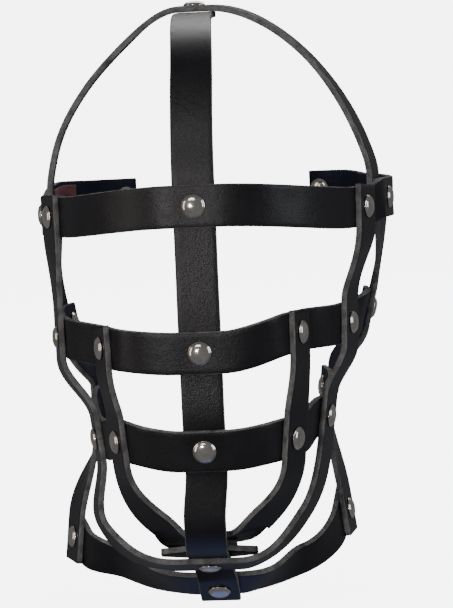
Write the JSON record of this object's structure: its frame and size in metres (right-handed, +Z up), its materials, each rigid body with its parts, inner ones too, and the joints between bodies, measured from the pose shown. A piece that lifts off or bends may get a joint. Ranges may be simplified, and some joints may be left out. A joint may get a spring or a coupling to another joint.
{
  "type": "head cage",
  "caption": "Open cage of flat black leather straps riveted over a head, with a brow ring, crown arch, face bands, chin straps and an open-backed collar",
  "frame": {"origin": "the middle of the head space at brow height, where the head mount is", "axes": "X to the wearer's left (viewer's right), Y to the back, Z up"},
  "size_m": [0.1717, 0.1799, 0.2867],
  "materials": {
    "black_leather": "satin",
    "nickel": "polished",
    "red_patch": "matte"
  },
  "bodies": {
    "root": {"crown_strap": "black_leather", "center_strap": "black_leather", "brow_band": "black_leather", "jaw_strap": "black_leather", "cheek_strap_left": "black_leather", "cheek_strap_right": "black_leather", "nose_band": "black_leather", "mouth_band": "black_leather", "side_strap_left": "black_leather", "side_strap_right": "black_leather", "collar": "black_leather", "chin_pad": "black_leather", "size_patch": "red_patch", "center_rivets": "nickel", "center_rivet_backs": "nickel", "temple_rivets": "nickel", "temple_rivet_backs": "nickel", "jaw_rivets": "nickel", "jaw_rivet_backs": "nickel", "cheek_rivets": "nickel", "cheek_rivet_backs": "nickel", "side_rivets": "nickel", "side_rivet_backs": "nickel", "end_rivets": "nickel", "end_rivet_backs": "nickel"}
  },
  "joints": []
}
